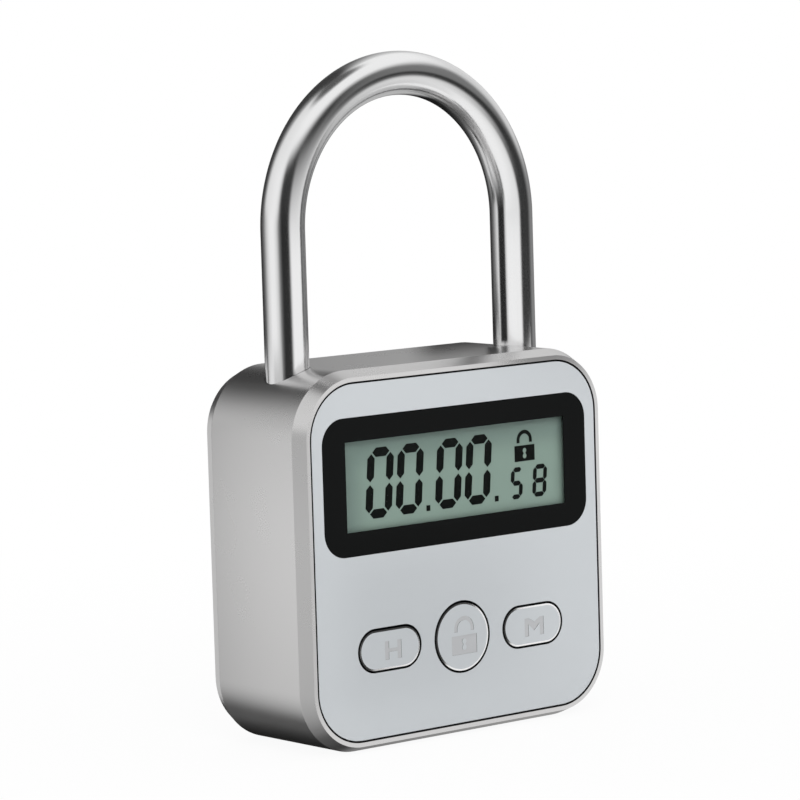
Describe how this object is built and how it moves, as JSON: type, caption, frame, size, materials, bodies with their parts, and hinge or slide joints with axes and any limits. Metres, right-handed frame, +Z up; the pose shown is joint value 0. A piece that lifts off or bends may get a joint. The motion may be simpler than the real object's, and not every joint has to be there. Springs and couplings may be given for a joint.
{
  "type": "timer padlock",
  "caption": "Metal padlock with a flush front panel, a display window, round and oval keys, and a polished U-shaped shackle held by a motor-driven bolt.",
  "frame": {"origin": "middle of the underside of the closed padlock", "axes": "+X to the right across the front, +Y from the front panel to the back, +Z up along the shackle's legs"},
  "size_m": [0.06, 0.024, 0.1038],
  "materials": {
    "satin_metal": "satin-plated zinc die-casting",
    "panel_metal": "satin, bead-blasted",
    "black_rubber": "matt",
    "black_plastic": "fine matt",
    "clear_window": "clear, polished",
    "display": "grey-green display cell",
    "reflector": "satin film",
    "white_plastic": "moulded",
    "contact_rubber": "matt",
    "board_green": "solder mask",
    "screw_steel": "zinc plated",
    "chip_black": "moulded epoxy",
    "component_grey": "matt",
    "switch_black": "moulded",
    "socket_steel": "bright plated",
    "battery_foil": "foil pouch",
    "foam": "closed-cell foam",
    "motor_steel": "drawn can",
    "brass_gear": "machined",
    "carrier_plastic": "moulded",
    "spring_steel": "spring wire",
    "polished_steel": "polished steel",
    "bolt_steel": "machined"
  },
  "bodies": {
    "body": {"body_shell": "satin_metal", "front_panel": "panel_metal", "panel_gasket": "black_rubber", "window_frame": "black_plastic", "window_lens": "clear_window", "lcd_glass": "display", "lcd_reflector": "reflector", "lcd_holder": "white_plastic", "zebra_strips": "contact_rubber", "circuit_board": "board_green", "board_screws": "screw_steel", "controller_chip": "chip_black", "driver_chip": "chip_black", "board_components": "component_grey", "switch_bases": "switch_black", "usb_receptacle": "socket_steel", "battery_cell": "battery_foil", "battery_tape": "foam", "motor_can": "motor_steel", "gearbox_case": "brass_gear", "motor_pad": "foam", "latch_carrier": "carrier_plastic", "carrier_screws": "screw_steel", "shackle_spring": "spring_steel"},
    "shackle": {"shackle": "polished_steel", "retaining_ring": "spring_steel"},
    "latch": {"latch_bolt": "bolt_steel"},
    "pinion": {"drive_pinion": "brass_gear", "output_shaft": "bolt_steel"},
    "hour_key": {"hour_button": "panel_metal", "hour_stem": "switch_black"},
    "lock_key": {"lock_button": "panel_metal", "lock_stem": "switch_black"},
    "minute_key": {"minute_button": "panel_metal", "minute_stem": "switch_black"}
  },
  "joints": [
    {"name": "shackle_lift", "type": "slide", "parent": "body", "child": "shackle", "axis": [0, 0, 1], "range_m": [0, 0.014], "deforming": ["shackle_spring"]},
    {"name": "latch_slide", "type": "slide", "parent": "body", "child": "latch", "axis": [1, 0, 0], "range_m": [0, 0.0026]},
    {"name": "pinion_spin", "type": "hinge", "parent": "body", "child": "pinion", "pos_m": [0.009, 0.0051, 0.04775], "axis": [0, 0, 1], "range_deg": [0, 49.7]},
    {"name": "hour_press", "type": "slide", "parent": "body", "child": "hour_key", "axis": [0, 1, 0], "range_m": [0, 0.0004], "stiffness_N_per_m": 800, "springref_m": -0.0003},
    {"name": "lock_press", "type": "slide", "parent": "body", "child": "lock_key", "axis": [0, 1, 0], "range_m": [0, 0.0004], "stiffness_N_per_m": 800, "springref_m": -0.0003},
    {"name": "minute_press", "type": "slide", "parent": "body", "child": "minute_key", "axis": [0, 1, 0], "range_m": [0, 0.0004], "stiffness_N_per_m": 800, "springref_m": -0.0003}
  ],
  "couplings": [
    {"joint": "pinion_spin", "follows": "latch_slide", "rad_per_m": 333.33}
  ]
}
